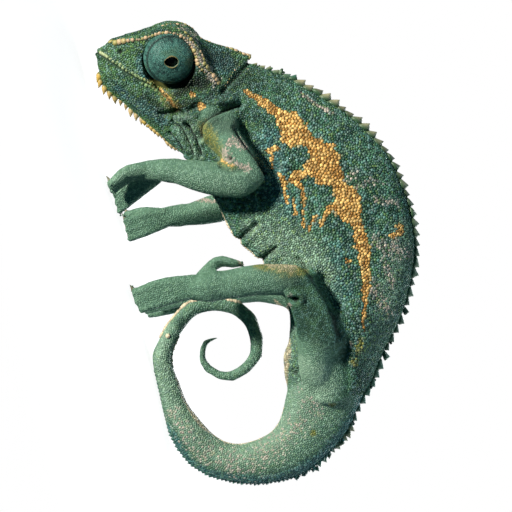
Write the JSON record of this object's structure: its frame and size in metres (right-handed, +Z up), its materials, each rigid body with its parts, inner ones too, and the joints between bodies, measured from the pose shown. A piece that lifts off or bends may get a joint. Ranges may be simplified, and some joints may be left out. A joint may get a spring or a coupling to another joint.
{
  "type": "chameleon",
  "caption": "Small side-striped chameleon as a still display model, arched back, bowed head, standing on its feet and curled tail.",
  "frame": {"origin": "on the floor under the middle of the animal's bounding box", "axes": "+X towards the tail, the animal faces -X; its left side is at -Y; +Z up"},
  "size_m": [0.0724, 0.0212, 0.0438],
  "materials": {
    "head": "dark green granular scales with cream and yellow ridges",
    "lower_jaw": "deep green granular scales",
    "neck": "deep green granular scales",
    "trunk": "deep green granular scales with an orange-yellow side stripe",
    "tail_base": "deep green granular scales",
    "tail_middle": "pale green skin in fine granular scales with pinkish specks",
    "tail_curl": "pale green skin in fine granular scales with pinkish specks",
    "tail_coil": "pale green skin in fine granular scales with pinkish specks",
    "tail_tip": "pale green skin in fine granular scales with pinkish specks",
    "left_eye_turret": "teal skin in fine granular scales",
    "left_eyeball": "glossy black, wet",
    "left_upper_arm": "pale sage-green skin in fine granular scales",
    "left_forearm": "pale sage-green skin in fine granular scales",
    "left_hand": "pale sage-green skin in fine granular scales",
    "left_thigh": "pale sage-green skin in fine granular scales",
    "left_shin": "pale sage-green skin in fine granular scales",
    "left_foot": "pale sage-green skin in fine granular scales",
    "right_eye_turret": "teal skin in fine granular scales",
    "right_eyeball": "glossy black, wet",
    "right_upper_arm": "pale sage-green skin in fine granular scales",
    "right_forearm": "pale sage-green skin in fine granular scales",
    "right_hand": "pale sage-green skin in fine granular scales",
    "right_thigh": "pale sage-green skin in fine granular scales",
    "right_shin": "pale sage-green skin in fine granular scales",
    "right_foot": "pale sage-green skin in fine granular scales"
  },
  "bodies": {
    "root": {"head": "head", "lower_jaw": "lower_jaw", "neck": "neck", "trunk": "trunk", "tail_base": "tail_base", "tail_middle": "tail_middle", "tail_curl": "tail_curl", "tail_coil": "tail_coil", "tail_tip": "tail_tip", "left_eye_turret": "left_eye_turret", "left_eyeball": "left_eyeball", "left_upper_arm": "left_upper_arm", "left_forearm": "left_forearm", "left_hand": "left_hand", "left_thigh": "left_thigh", "left_shin": "left_shin", "left_foot": "left_foot", "right_eye_turret": "right_eye_turret", "right_eyeball": "right_eyeball", "right_upper_arm": "right_upper_arm", "right_forearm": "right_forearm", "right_hand": "right_hand", "right_thigh": "right_thigh", "right_shin": "right_shin", "right_foot": "right_foot"}
  },
  "joints": []
}
